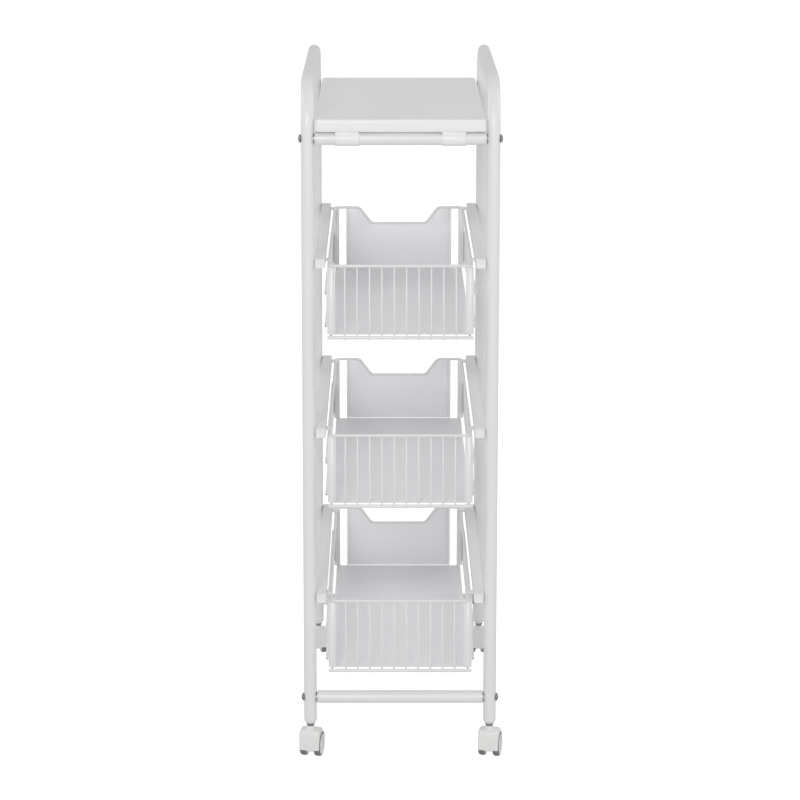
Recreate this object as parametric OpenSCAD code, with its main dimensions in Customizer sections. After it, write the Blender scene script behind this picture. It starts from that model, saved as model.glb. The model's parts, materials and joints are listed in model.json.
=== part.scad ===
// Slim rolling utility cart: two bent-tube side frames, a top tray and three sliding baskets.
// Millimetres, +Z up. The origin is on the floor under the middle of the cart.
// The capped ends of the rails face -Y. The baskets pull out towards +Y, hand notch first.

/* [Side frames] */
// Outside width over the two side frames
frame_w = 243; // [230:1:260]
// Distance between the front and rear post axes
post_span = 424; // [400:1:450]
// Height of the frame tops above the floor
frame_h = 868; // [860:1:900]
// Outside diameter of the frame tube
tube_d = 16; // [15:0.5:18]
// Wall thickness of the frame tube
tube_wall = 1.2; // [1:0.1:1.5]
// Bend radius of the frame corners, on the tube axis
bend_r = 55; // [40:1:70]
// Height of the lower ends of the posts
post_bottom = 50; // [49:0.5:52]

/* [Crossbars] */
// Height of the lower crossbars' axis
low_bar_z = 80.5; // [75:0.5:90]
// Height of the upper crossbars' axis
top_bar_z = 792.5; // [780:0.5:796]
// Diameter of the screws that hold the crossbars
screw_d = 6; // [5:0.5:6]

/* [Top tray] */
// Height of the tray's upper face
tray_z = 817; // [814:0.5:822]
// Width of the tray
tray_w = 208; // [200:1:209]
// Depth of the tray's turned-down lips
lip_h = 15; // [12:0.5:15.5]
// Width of the four sleeves that hold the tray on the crossbars
sleeve_w = 29; // [20:1:35]

/* [Rails] */
// Height of the top of the lowest rails
rail_z = 218; // [210:1:225]
// Height step from one basket to the next
basket_step = 213.5; // [205:0.5:216]
// Height of a rail
rail_h = 12; // [11:0.5:13]
// Width of a rail
rail_w = 12.8; // [12.5:0.1:13.5]

/* [Baskets] */
// Outside width of a basket over its corner posts
basket_w = 180; // [174:1:181]
// Height from the bottom rail's axis to the rim wire's axis
basket_h = 87; // [82:1:92]
// How far the grid end leans outwards at the bottom
grid_lean = 13; // [0:1:16]
// Diameter of the rim wire
rim_d = 3.6; // [3:0.2:4]
// Diameter of the thin upright wires
wire_d = 2; // [1.6:0.1:2.6]
// Number of upright wires in the grid end
wire_count = 10; // [6:1:11]
// Distance between neighbouring upright wires
wire_step = 15.2; // [12:0.1:15.6]
// Thickness of the sheet parts
sheet_t = 1; // [0.8:0.1:1.5]
// Depth of the hand notch
notch_h = 22; // [15:1:30]

/* [Casters] */
// Radius of a caster wheel
wheel_r = 15; // [14:0.5:16]
// Distance from the swivel axis to the wheel axis
trail = 8; // [6:0.5:9]
// Angle that the casters stand turned by
caster_turn = 12; // [0:1:20]

/* [Hidden] */
$fn = 48;
BASKETS = [1, 2, 3];
// Corners: name, side in X, end in Y
CORNERS = [["front_left", -1, -1], ["front_right", 1, -1], ["rear_left", -1, 1], ["rear_right", 1, 1]];

tube_r = tube_d / 2;
tube_bore_r = tube_r - tube_wall;
post_x = frame_w / 2 - tube_r;
post_y = post_span / 2;
top_tube_z = frame_h - tube_r;
post_face_x = post_x - tube_r;
bar_heights = [low_bar_z, top_bar_z];

saddle_t = 2.5;
// How far a saddle's face reaches round the post
saddle_lap = 0.8;
saddle_r = tube_r + 0.4;
saddle_plug_len = 20;
screw_head_r = 5.2;
screw_head_h = 3;
hex_key_r = 2.3;

tray_t = 1.2;
tray_end_y = post_y + tube_r + tray_t;
tray_edge_r = 5;
sleeve_x = 65;

rail_t = 1.2;
rail_end_y = post_y + 4;
rail_out_x = post_face_x;
rail_in_x = rail_out_x - rail_w;
cap_t = 4;
cap_tongue = 8;
cap_tongue_gap = 0.9;
rail_screw_d = 4;
rail_screw_head_d = 7;
rail_screw_head_t = 0.6;
rail_screw_reach = 4.5;

// A basket's rim axis lies this far under the top of its rails
rim_drop = 8;
rim_x = basket_w / 2 - rim_d / 2 - 0.7;
rim_front_y = -223;
rim_rear_y = 228;
rim_corner_r = 8;
notch_top_x = 54;
notch_low_x = 37.5;
bottom_rail_d = 4.4;
corner_post_w = [10, 8];
corner_post_t = 3.6;
panel_half_w = 71;
grid_angle = atan(grid_lean / basket_h);
hem_d = 3.6;
band_top = 34;
band_low = 75;
runner_gap = 0.5;
runner_front_y = -205;
runner_rear_y = 214;
runner_in = 1.7;
runner_out = 1.2;
hanger_len = 14;
hanger_t = 2;
tick_len = 5;
// How far the upright wires are melted into the bottom rail
wire_sink = 0.7;

wheel_w = 9;
wheel_in_x = 5;
tread_t = 1.6;
hood_half_w = 13;
hood_web_half = 4.5;
hood_r = 18;
hood_top_z = 38.5;
hood_skirt_z = 6.5;
wheel_well_r = 16;
stem_r = 4;
swivel_clearance = 0.05;
plug_top_z = 74;
plug_cone_h = 4;
stem_collar_z = 44.2;
axle_r = 2;
axle_clearance = 0.05;

frame_white = [0.93, 0.93, 0.94];
sheet_white = [0.89, 0.89, 0.90];
wire_white = [0.95, 0.95, 0.96];
plastic_white = [0.91, 0.91, 0.90];
steel = [0.62, 0.63, 0.65];
wheel_grey = [0.80, 0.80, 0.80];

function rail_top(i) = rail_z + (3 - i) * basket_step;
function rim_z(i) = rail_top(i) - rim_drop;
function bottom_z(i) = rim_z(i) - basket_h;

// Round bar between two points
module rod(a, b, d) {
  v = b - a;
  len = norm(v);
  translate(a)
    rotate([0, acos(v[2] / len), atan2(v[1], v[0])])
      cylinder(d = d, h = len);
}

// Inverted U of round bar in the YZ plane: two posts, two quarter bends and the top
module u_bar(r, bottom) {
  for (end = [-1, 1]) {
    translate([0, end * post_y, bottom])
      cylinder(r = r, h = top_tube_z - bend_r - bottom);
    translate([0, end * (post_y - bend_r), top_tube_z - bend_r])
      rotate([0, -90, 0])
        rotate([0, 0, end > 0 ? 0 : -90])
          rotate_extrude(angle = 90)
            translate([bend_r, 0])
              circle(r = r);
  }
  translate([0, -(post_y - bend_r), top_tube_z])
    rotate([-90, 0, 0])
      cylinder(r = r, h = 2 * (post_y - bend_r));
}

// Bent tube with its crossbar screw holes and its rail screw holes
module side_frame(side) {
  color(frame_white)
    translate([side * post_x, 0, 0])
      difference() {
        u_bar(tube_r, post_bottom);
        u_bar(tube_bore_r, post_bottom - 1);
        for (end = [-1, 1]) {
          for (z = bar_heights)
            translate([0, end * post_y, z])
              rotate([0, 90, 0])
                cylinder(d = screw_d, h = tube_d + 2, center = true);
          for (i = BASKETS)
            translate([-side * tube_r, end * post_y, rail_top(i) - rail_h / 2])
              rotate([0, 90, 0])
                cylinder(d = rail_screw_d, h = tube_r, center = true);
        }
      }
}

// Tube between two saddles, one end at +Y or -Y and at one height
module crossbar(end, z) {
  color(frame_white)
    translate([0, end * post_y, z])
      rotate([0, 90, 0])
        difference() {
          cylinder(r = tube_r, h = 2 * (post_face_x - saddle_t), center = true);
          cylinder(r = tube_bore_r, h = frame_w, center = true);
        }
}

// Threaded end fittings: a collar shaped to the post and a plug inside the crossbar
module crossbar_saddles() {
  color(plastic_white)
    for (side = [-1, 1], end = [-1, 1], z = bar_heights)
      difference() {
        translate([side * post_face_x, end * post_y, z])
          rotate([0, -side * 90, 0]) {
            translate([0, 0, -saddle_lap])
              cylinder(r = saddle_r, h = saddle_t + saddle_lap);
            cylinder(r = tube_bore_r, h = saddle_t + saddle_plug_len);
          }
        translate([side * post_x, end * post_y, z])
          cylinder(r = tube_r, h = 4 * tube_d, center = true);
        translate([side * post_face_x, end * post_y, z])
          rotate([0, 90, 0])
            cylinder(d = screw_d, h = 4 * tube_d, center = true);
      }
}

// Button-head screws with a hexagon socket, through the posts into the saddles
module crossbar_screws() {
  color(steel)
    for (side = [-1, 1], end = [-1, 1], z = bar_heights)
      translate([side * frame_w / 2, end * post_y, z])
        rotate([0, side * 90, 0])
          difference() {
            union() {
              translate([0, 0, -tube_d - saddle_plug_len])
                cylinder(d = screw_d, h = tube_d + saddle_plug_len);
              intersection() {
                cylinder(r = screw_head_r, h = screw_head_h);
                translate([0, 0, screw_head_h - 2 * screw_head_r])
                  sphere(r = 2 * screw_head_r);
              }
            }
            translate([0, 0, screw_head_h - 2])
              cylinder(r = hex_key_r, h = 3, $fn = 6);
          }
}

// Plastic plugs in the post ends, bored for the caster stems
module post_plugs() {
  color(plastic_white)
    for (c = CORNERS)
      translate([c[1] * post_x, c[2] * post_y, 0])
        difference() {
          union() {
            translate([0, 0, post_bottom])
              cylinder(r = tube_bore_r, h = plug_top_z - post_bottom);
            translate([0, 0, post_bottom - plug_cone_h])
              cylinder(r1 = tube_r - 2.5, r2 = tube_r, h = plug_cone_h);
          }
          cylinder(r = stem_r + swivel_clearance, h = frame_h, center = true);
        }
}

// Side profile of the tray: flat top, rounded end edges and straight lips, open below
module tray_profile(inset) {
  r = tray_edge_r - inset;
  end_y = tray_end_y - inset;
  top = tray_z - inset;
  low = tray_z - lip_h - (inset > 0 ? 1 : 0);
  translate([-end_y, low])
    square([2 * end_y, top - r - low]);
  translate([-end_y + r, top - r - 0.1])
    square([2 * (end_y - r), r + 0.1]);
  for (end = [-1, 1])
    translate([end * (end_y - r), top - r])
      circle(r = r);
}

// Sheet tray with lips all round and four sleeves round the upper crossbars
module top_tray() {
  color(sheet_white) {
    difference() {
      rotate([90, 0, 90])
        linear_extrude(tray_w, center = true)
          tray_profile(0);
      rotate([90, 0, 90])
        linear_extrude(tray_w - 2 * tray_t, center = true)
          tray_profile(tray_t);
    }
    for (side = [-1, 1], end = [-1, 1])
      translate([side * sleeve_x, end * post_y, top_bar_z])
        rotate([90, 0, 90])
          tray_sleeve(end);
  }
}

// One sleeve: a ring round the crossbar, joined to the lip and to the tray's underside
module tray_sleeve(end) {
  leg_h = tray_z - tray_t - top_bar_z;
  linear_extrude(sleeve_w, center = true)
    difference() {
      union() {
        circle(r = tube_r + tray_t);
        for (leg = [-1, 1])
          translate([leg * (tube_r + tray_t / 2) - tray_t / 2, 0])
            square([tray_t, leg * end > 0 ? leg_h - tray_edge_r : leg_h]);
      }
      circle(r = tube_r);
    }
}

// C-shaped rail, open towards the basket, bored for its two screws
module rail(i, side) {
  color(frame_white)
    translate([0, 0, rail_top(i) - rail_h])
      difference() {
        translate([side > 0 ? rail_in_x : -rail_out_x, -rail_end_y, 0])
          cube([rail_w, 2 * rail_end_y, rail_h]);
        translate([side > 0 ? rail_in_x - 1 : -rail_out_x + rail_t, -rail_end_y - 1, rail_t])
          cube([rail_w - rail_t + 1, 2 * rail_end_y + 2, rail_h - 2 * rail_t]);
        for (end = [-1, 1])
          translate([side * rail_out_x, end * post_y, rail_h / 2])
            rotate([0, 90, 0])
              cylinder(d = rail_screw_d, h = 4 * rail_t, center = true);
      }
}

// Box-shaped caps on the -Y ends of the rails, each with a tongue inside the channel
module rail_end_caps() {
  tongue_w = rail_w - rail_t - cap_tongue_gap;
  color(plastic_white)
    for (i = BASKETS, side = [-1, 1])
      translate([side * rail_in_x, -rail_end_y, rail_top(i) - rail_h / 2]) {
        translate([side * rail_w / 2, -cap_t / 2, 0])
          cube([rail_w, cap_t, rail_h], center = true);
        translate([side * tongue_w / 2, cap_tongue / 2, 0])
          cube([tongue_w, cap_tongue, rail_h - 2 * rail_t], center = true);
      }
}

// Flat-headed screws through the rail webs into the posts
module rail_screws() {
  color(steel)
    for (i = BASKETS, side = [-1, 1], end = [-1, 1])
      translate([side * (rail_out_x - rail_t), end * post_y, rail_top(i) - rail_h / 2])
        rotate([0, side * 90, 0]) {
          cylinder(d = rail_screw_d, h = rail_t + rail_screw_reach);
          translate([0, 0, -rail_screw_head_t])
            cylinder(d = rail_screw_head_d, h = rail_screw_head_t);
        }
}

// Sheet floor with rolled edges along both sides and a thinner one at the far end
module basket_floor(i) {
  edge_z = bottom_z(i) + hem_d / 2;
  front_y = rim_front_y - grid_lean + bottom_rail_d / 2;
  sheet_y = front_y + wire_d + 0.5;
  rear_y = rim_rear_y - hem_d / 2;
  side_x = basket_w / 2 - hem_d - 1;
  color(sheet_white) {
    translate([-side_x, sheet_y, edge_z - 0.2])
      cube([2 * side_x, rear_y - sheet_y, sheet_t]);
    for (side = [-1, 1])
      rod([side * side_x, front_y, edge_z], [side * side_x, rear_y, edge_z], hem_d);
    rod([-side_x, rear_y - hem_d / 2, edge_z], [side_x, rear_y - hem_d / 2, edge_z], hem_d - 1);
  }
}

// Grid end: a thick bottom rail and thin upright wires whose ends turn in under it
module basket_front_grid(i) {
  low_y = rim_front_y - grid_lean;
  wire_back = (rim_d + wire_d) / 2 / cos(grid_angle);
  tick_z = bottom_z(i) - (bottom_rail_d + wire_d) / 2;
  color(wire_white) {
    rod([-basket_w / 2, low_y, bottom_z(i)], [basket_w / 2, low_y, bottom_z(i)], bottom_rail_d);
    for (n = [0:wire_count - 1]) {
      x = (n - (wire_count - 1) / 2) * wire_step;
      top = [x, rim_front_y + wire_back, rim_z(i)];
      low = [x, low_y + (bottom_rail_d + wire_d) / 2 - wire_sink, tick_z];
      rod(low, top, wire_d);
      translate(low)
        sphere(d = wire_d, $fn = 24);
      rod(low, low + [0, tick_len, 0], wire_d);
    }
  }
}

// Closed rim wire with round corners, dipping along the hand notch at the far end
module basket_rim(i) {
  z = rim_z(i);
  r = rim_corner_r;
  dip = [
    [-rim_x + r, rim_rear_y, z], [-notch_top_x, rim_rear_y, z], [-notch_low_x, rim_rear_y, z - notch_h],
    [notch_low_x, rim_rear_y, z - notch_h], [notch_top_x, rim_rear_y, z], [rim_x - r, rim_rear_y, z]
  ];
  color(wire_white) {
    for (side = [-1, 1])
      rod([side * rim_x, rim_front_y + r, z], [side * rim_x, rim_rear_y - r, z], rim_d);
    rod([-rim_x + r, rim_front_y, z], [rim_x - r, rim_front_y, z], rim_d);
    for (n = [0:len(dip) - 2])
      rod(dip[n], dip[n + 1], rim_d);
    for (n = [1:len(dip) - 2])
      translate(dip[n])
        sphere(d = rim_d);
    rim_corner([rim_x - r, rim_rear_y - r, z], 0);
    rim_corner([-rim_x + r, rim_rear_y - r, z], 90);
    rim_corner([-rim_x + r, rim_front_y + r, z], 180);
    rim_corner([rim_x - r, rim_front_y + r, z], 270);
  }
}

// Quarter bend of the rim wire
module rim_corner(centre, turn) {
  translate(centre)
    rotate([0, 0, turn])
      rotate_extrude(angle = 90)
        translate([rim_corner_r, 0])
          circle(d = rim_d);
}

// Far-end sheet with the hand notch in its top edge and rolled upright edges
module basket_rear_panel(i) {
  top = rim_z(i) - rim_d / 2;
  low = bottom_z(i) + hem_d;
  y = rim_rear_y - hem_d / 2;
  color(sheet_white) {
    translate([0, y + sheet_t / 2, 0])
      rotate([90, 0, 0])
        linear_extrude(sheet_t)
          polygon([
            [-panel_half_w, low], [panel_half_w, low], [panel_half_w, top], [notch_top_x + 1, top],
            [notch_low_x + 1, top - notch_h], [-notch_low_x - 1, top - notch_h],
            [-notch_top_x - 1, top], [-panel_half_w, top]
          ]);
    for (side = [-1, 1])
      rod([side * panel_half_w, y, low], [side * panel_half_w, y, top], hem_d);
  }
}

// Four corner posts: two leaning ones at the grid end and two upright ones at the far end
module basket_corner_posts(i) {
  low = bottom_z(i) + hem_d;
  post_h = rim_z(i) - rim_d / 2 - low;
  color(wire_white)
    for (side = [-1, 1]) {
      intersection() {
        translate([side * (basket_w / 2 - corner_post_w[0] / 2), rim_front_y - grid_lean, bottom_z(i)])
          rotate([-grid_angle, 0, 0])
            translate([-corner_post_w[0] / 2, rim_d / 2, 0])
              cube([corner_post_w[0], corner_post_t, 2 * basket_h]);
        translate([-basket_w, 2 * rim_front_y, low])
          cube([2 * basket_w, -2 * rim_front_y, post_h]);
      }
      translate([side * (basket_w / 2 - corner_post_w[1] / 2), rim_rear_y - rim_d / 2 - corner_post_t / 2, low])
        translate([0, 0, post_h / 2])
          cube([corner_post_w[1], corner_post_t, post_h], center = true);
    }
}

// A sheet strip with rolled edges along each side, welded outside the corner posts
module basket_side_bands(i) {
  front_y = rim_front_y - 2;
  rear_y = rim_rear_y - 2;
  color(sheet_white)
    for (side = [-1, 1]) {
      x = side * (basket_w / 2 + hem_d / 2);
      translate([x - sheet_t / 2, front_y, rim_z(i) - band_low])
        cube([sheet_t, rear_y - front_y, band_low - band_top]);
      for (drop = [band_top, band_low])
        rod([x, front_y, rim_z(i) - drop], [x, rear_y, rim_z(i) - drop], hem_d);
    }
}

// Runner bars inside the rails, each hung on the rim wire by two tabs
module basket_runners(i) {
  bar_h = rail_h - 2 * rail_t - 2 * runner_gap;
  bar_w = rail_w - rail_t - runner_in - runner_out;
  color(plastic_white)
    for (side = [-1, 1]) {
      in_x = rail_in_x + runner_in;
      translate([side > 0 ? in_x : -in_x - bar_w, runner_front_y, rail_top(i) - rail_t - runner_gap - bar_h])
        cube([bar_w, runner_rear_y - runner_front_y, bar_h]);
      for (y = [runner_front_y + 4, runner_rear_y - hanger_len - 4])
        translate([side > 0 ? rim_x : -in_x, y, rim_z(i) + rim_d / 2])
          cube([in_x - rim_x, hanger_len, hanger_t]);
    }
}

// Places a caster part under its post, turned about the swivel axis
module at_caster(c) {
  translate([c[1] * post_x, c[2] * post_y, 0])
    rotate([0, 0, c[2] * caster_turn])
      children();
}

// Hood: a web between the wheels, a curved cover over the treads and a stem housing
module caster_hood(c) {
  color(plastic_white)
    at_caster(c)
      difference() {
        union() {
          translate([0, trail, wheel_r])
            rotate([0, 90, 0])
              cylinder(r = hood_r, h = 2 * hood_half_w, center = true);
          translate([-hood_half_w + 2, trail - hood_r, wheel_r])
            cube([2 * hood_half_w - 4, hood_r + 1, hood_top_z - wheel_r - 2]);
          translate([0, 0, hood_top_z - 6])
            cylinder(r = 6.5, h = 6);
        }
        for (side = [-1, 1])
          translate([side * (hood_web_half + hood_half_w), trail, wheel_r])
            rotate([0, 90, 0])
              cylinder(r = wheel_well_r, h = 2 * hood_half_w, center = true);
        translate([-hood_half_w - 1, -hood_r, -hood_r])
          cube([2 * hood_half_w + 2, 4 * hood_r, hood_skirt_z + hood_r]);
        translate([-hood_half_w - 1, trail + wheel_well_r * 0.6, -1])
          cube([2 * hood_half_w + 2, 2 * hood_r, wheel_r + 8]);
        translate([0, 0, hood_top_z - 12])
          cylinder(r = stem_r, h = 20);
        translate([0, trail, wheel_r])
          rotate([0, 90, 0])
            cylinder(r = axle_r + axle_clearance, h = 4 * hood_half_w, center = true);
      }
}

// Steel stem fixed in the hood, with a collar under the post plug
module caster_stem(c) {
  color(steel)
    at_caster(c) {
      translate([0, 0, hood_top_z - 12])
        cylinder(r = stem_r, h = plug_top_z - hood_top_z + 6);
      translate([0, 0, stem_collar_z])
        cylinder(r = stem_r + 1.2, h = 1.4);
    }
}

// Axle through the web of the hood
module caster_axle(c) {
  color(steel)
    at_caster(c)
      translate([0, trail, wheel_r])
        rotate([0, 90, 0])
          cylinder(r = axle_r, h = 2 * (wheel_in_x + wheel_w - 1), center = true);
}

// Places a wheel part that is turned about the caster's axle, one for each side of the web
module at_wheels(c) {
  at_caster(c)
    for (side = [-1, 1])
      translate([side * wheel_in_x, trail, wheel_r])
        rotate([0, side * 90, 0])
          children();
}

// Pair of wheels pressed on the axle, each with a hub boss and a recessed outer face
module caster_wheels(c) {
  rim_r = wheel_r - tread_t;
  color(plastic_white)
    at_wheels(c)
      rotate_extrude()
        polygon([
          [axle_r, 0], [rim_r, 0], [rim_r, wheel_w - 0.4], [rim_r - 1.8, wheel_w - 0.4],
          [rim_r - 2.6, wheel_w - 1.2], [5.5, wheel_w - 1.2], [5, wheel_w], [axle_r, wheel_w]
        ]);
}

// Treads round the wheels, with chamfered edges
module caster_treads(c) {
  rim_r = wheel_r - tread_t;
  color(wheel_grey)
    at_wheels(c)
      rotate_extrude()
        polygon([
          [rim_r, 0], [wheel_r - 0.6, 0], [wheel_r, 0.6], [wheel_r, wheel_w - 1.6],
          [wheel_r - 1, wheel_w - 0.6], [rim_r, wheel_w - 0.6]
        ]);
}

side_frame(-1);  // left_side_frame
side_frame(1);  // right_side_frame
crossbar(-1, top_bar_z);  // top_front_crossbar
crossbar(1, top_bar_z);  // top_rear_crossbar
crossbar(-1, low_bar_z);  // bottom_front_crossbar
crossbar(1, low_bar_z);  // bottom_rear_crossbar
crossbar_saddles();
crossbar_screws();
post_plugs();
top_tray();
for (i = BASKETS) {
  rail(i, -1);
  rail(i, 1);
  basket_floor(i);
  basket_front_grid(i);
  basket_rim(i);
  basket_rear_panel(i);
  basket_corner_posts(i);
  basket_side_bands(i);
  basket_runners(i);
}
rail_end_caps();
rail_screws();
for (c = CORNERS) {
  caster_hood(c);
  caster_stem(c);
  caster_axle(c);
  caster_wheels(c);
  caster_treads(c);
}
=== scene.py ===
"""Rolling utility cart: the looks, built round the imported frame.

Builders work in millimetres in the cart's own frame (+Z up, floor at z = 0, grid ends at -Y);
meshes are scaled to metres when they are made.
"""

import json
import math

import bmesh
import bpy
from mathutils import Matrix, Vector


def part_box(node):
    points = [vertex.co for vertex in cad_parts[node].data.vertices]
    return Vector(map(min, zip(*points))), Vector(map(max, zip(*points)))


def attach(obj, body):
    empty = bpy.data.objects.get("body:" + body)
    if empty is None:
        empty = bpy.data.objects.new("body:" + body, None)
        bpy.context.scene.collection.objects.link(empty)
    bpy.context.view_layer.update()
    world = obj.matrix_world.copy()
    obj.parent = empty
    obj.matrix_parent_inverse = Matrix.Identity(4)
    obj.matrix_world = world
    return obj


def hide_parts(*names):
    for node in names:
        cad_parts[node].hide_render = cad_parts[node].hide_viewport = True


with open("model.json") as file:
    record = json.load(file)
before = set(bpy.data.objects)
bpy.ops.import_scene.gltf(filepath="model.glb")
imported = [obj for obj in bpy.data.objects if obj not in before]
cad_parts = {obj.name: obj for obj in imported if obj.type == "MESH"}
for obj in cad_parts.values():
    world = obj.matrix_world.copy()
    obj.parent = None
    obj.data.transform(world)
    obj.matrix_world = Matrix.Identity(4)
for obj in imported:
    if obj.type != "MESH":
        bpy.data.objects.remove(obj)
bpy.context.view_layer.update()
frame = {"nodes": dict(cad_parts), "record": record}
MM = 0.001

# ---------------------------------------------------------------- sizes, most read from the frame


def box(node):
    """Lowest and highest corner of a CAD node, in millimetres."""
    low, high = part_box(node)
    return low / MM, high / MM


def middle(node):
    """Centre of a CAD node's box, in millimetres."""
    low, high = box(node)
    return (low + high) / 2


BASKETS = (1, 2, 3)
SIDES = {"left": -1, "right": 1}
ENDS = {"front": -1, "rear": 1}
CORNERS = [(f"{end}_{side}", SIDES[side], ENDS[end]) for end in ENDS for side in SIDES]

# Side frames, crossbars and their joints. The saddle's slit is the gap it leaves before the post.
frame_low, frame_high = box("right_side_frame")
TUBE_R = (frame_high.x - frame_low.x) / 2
TUBE_WALL = 1.2
TUBE_SIDES = 40
POST_X = frame_high.x - TUBE_R
POST_Y = frame_high.y - TUBE_R
POST_LOW = frame_low.z
TOP_TUBE_Z = frame_high.z - TUBE_R
BEND_R = 55
BAR_HEIGHTS = (middle("bottom_front_crossbar").z, middle("top_front_crossbar").z)
BAR_HALF = box("top_front_crossbar")[1].x
BOLTED_ENDS = [(x, y, z) for x in SIDES.values() for y in ENDS.values() for z in BAR_HEIGHTS]
SCREW_R = 3.0
SADDLE_SLIT = 1.0
PLUG_DEPTH = 14

# Tray. The sleeves are the straps round the upper crossbars.
TRAY_HIGH = box("top_tray")[1]
TRAY_T = 1.2
LIP_H = 15
TRAY_CORNER_R = 3
TRAY_FOLD_R = 2.9
SLEEVE_X = 65
SLEEVE_W = 29

# Rails
RAIL_T = 1.2
CAP_L = 4

# Baskets. The notch is measured from the middle and down from the rim, the bands down from the
# rim, and the floor sheet starts that far behind the grid.
SHEET_T = 1.0
WIRE_R = 1.0
RIM_R = 1.8
RIM_CORNER_R = 8
BOTTOM_RAIL_R = 2.2
HEM_R = 1.8
CURL_R = HEM_R - SHEET_T / 2
NOTCH_TOP_X = 54
NOTCH_LOW_X = 37.5
NOTCH_H = 22
NOTCH_R = 9
PANEL_HALF = 71
WIRE_COUNT = 10
WIRE_STEP = 15.2
WIRE_TICK = 5
FLOOR_START = 2.5
BAND_TOP = 34
BAND_LOW = 75
STRIP_T = 1.2
STRIP_DEPTH = 3.4
GRID_STRIP_W = 10
FAR_STRIP_W = 8
TAB_L = 14

# Casters. The axle trails the stem, and a wheel's inner face stands off the middle plane.
CASTER_TURN = math.radians(12)
TRAIL = 8
WHEEL_R = 15
TREAD_T = 1.6
WHEEL_INNER_X = 5
HOOD_HALF = 13.0
HOOD_TOP = 38.5
HOOD_WELL_R = 16.1
NECK_TOP = 42.4


def rim_z(i):
    """Height of a basket's rim wire."""
    return box(f"basket_{i}_rim")[1].z - RIM_R


def floor_z(i):
    """Height of a basket's bottom rail."""
    return box(f"basket_{i}_floor")[0].z


RIM_LOW, RIM_HIGH = box("basket_1_rim")
RIM_X = RIM_HIGH.x - RIM_R
RIM_FRONT_Y = RIM_LOW.y + RIM_R
RIM_REAR_Y = RIM_HIGH.y - RIM_R
GRID_FRONT_Y = box("basket_1_front_grid")[0].y + BOTTOM_RAIL_R
BASKET_HALF = box("basket_1_corner_posts")[1].x
BASKET_H = rim_z(1) - floor_z(1)
GRID_LEAN = RIM_FRONT_Y - GRID_FRONT_Y

# ---------------------------------------------------------------- materials

FRAME_WHITE = (0.84, 0.84, 0.85, 1)
SHEET_WHITE = (0.90, 0.90, 0.915, 1)
WIRE_WHITE = (0.82, 0.82, 0.83, 1)
PLASTIC_WHITE = (0.87, 0.87, 0.86, 1)
NYLON_WHITE = (0.83, 0.83, 0.815, 1)
# Darker than bare zinc: painted shade for the shadowed gaps round the caster stems and the crossbar screw
# ends.
ZINC_DARKENED_AS_SHADE = (0.36, 0.36, 0.37, 1)
TREAD_GREY = (0.22, 0.22, 0.225, 1)


class Surface:
    """A Principled material with object-space noise for its grain, tint and gloss."""

    def __init__(self, name):
        self.material = bpy.data.materials.new(name)
        self.material.use_nodes = True
        self.nodes = self.material.node_tree.nodes
        self.links = self.material.node_tree.links
        self.shader = self.nodes["Principled BSDF"]
        self.place = self.nodes.new("ShaderNodeTexCoord").outputs["Object"]

    def set(self, **values):
        """Sets shader inputs, named with underscores for spaces."""
        for name, value in values.items():
            self.shader.inputs[name.replace("_", " ")].default_value = value
        return self

    def noise(self, scale, detail=2.0, stretch=(1, 1, 1)):
        """Noise with a scale in cells per metre, stretched along an axis if asked."""
        mapping = self.nodes.new("ShaderNodeMapping")
        mapping.inputs["Scale"].default_value = stretch
        self.links.new(self.place, mapping.inputs["Vector"])
        texture = self.nodes.new("ShaderNodeTexNoise")
        texture.inputs["Scale"].default_value = scale
        texture.inputs["Detail"].default_value = detail
        self.links.new(mapping.outputs["Vector"], texture.inputs["Vector"])
        return texture.outputs["Fac"]

    def ramp(self, value, low, high):
        """Maps the middle of a noise to the range from low to high."""
        mapped = self.nodes.new("ShaderNodeMapRange")
        mapped.inputs["From Min"].default_value = 0.2
        mapped.inputs["From Max"].default_value = 0.8
        mapped.inputs["To Min"].default_value = low
        mapped.inputs["To Max"].default_value = high
        self.links.new(value, mapped.inputs["Value"])
        return mapped.outputs["Result"]

    def tint(self, colour, value, spread):
        """Base colour that wavers by spread round colour."""
        mix = self.nodes.new("ShaderNodeMix")
        mix.data_type = "RGBA"
        mix.inputs["A"].default_value = [c * (1 - spread) for c in colour[:3]] + [1]
        mix.inputs["B"].default_value = [min(1, c * (1 + spread)) for c in colour[:3]] + [1]
        self.links.new(value, mix.inputs["Factor"])
        self.links.new(mix.outputs["Result"], self.shader.inputs["Base Color"])
        return self

    def gloss(self, value, low, high):
        """Roughness that wavers between low and high."""
        self.links.new(self.ramp(value, low, high), self.shader.inputs["Roughness"])
        return self

    def bumps(self, *layers):
        """Bump layers, each (noise, height in metres)."""
        normal = None
        for value, height in layers:
            bump = self.nodes.new("ShaderNodeBump")
            bump.inputs["Strength"].default_value = 1
            bump.inputs["Distance"].default_value = height
            self.links.new(value, bump.inputs["Height"])
            if normal:
                self.links.new(normal, bump.inputs["Normal"])
            normal = bump.outputs["Normal"]
        self.links.new(normal, self.shader.inputs["Normal"])
        return self


def powder_coat(name, colour, grain, orange_peel, roughness, coat):
    """Baked powder coat: soft orange peel, a fine grain and a thin glossy skin."""
    paint = Surface(name)
    paint.set(Coat_Weight=coat, Coat_Roughness=0.18, Specular_IOR_Level=0.45)
    paint.tint(colour, paint.noise(9, 3), 0.018)
    paint.gloss(paint.noise(35, 1), roughness - 0.02, roughness + 0.04)
    paint.bumps((paint.noise(420, 2), orange_peel), (paint.noise(2600, 2), grain))
    return paint.material


def moulded_plastic(name, colour, roughness, sparkle):
    """Injection-moulded plastic: fine spark-eroded grain and faint flow shading."""
    plastic = Surface(name)
    plastic.set(Specular_IOR_Level=0.5, Subsurface_Weight=0.06, Subsurface_Scale=0.004)
    plastic.tint(colour, plastic.noise(25, 2, (1, 1, 0.4)), 0.02)
    plastic.gloss(plastic.noise(140, 3), roughness - 0.06, roughness + 0.08)
    plastic.bumps((plastic.noise(1900, 2), sparkle))
    return plastic.material


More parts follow.
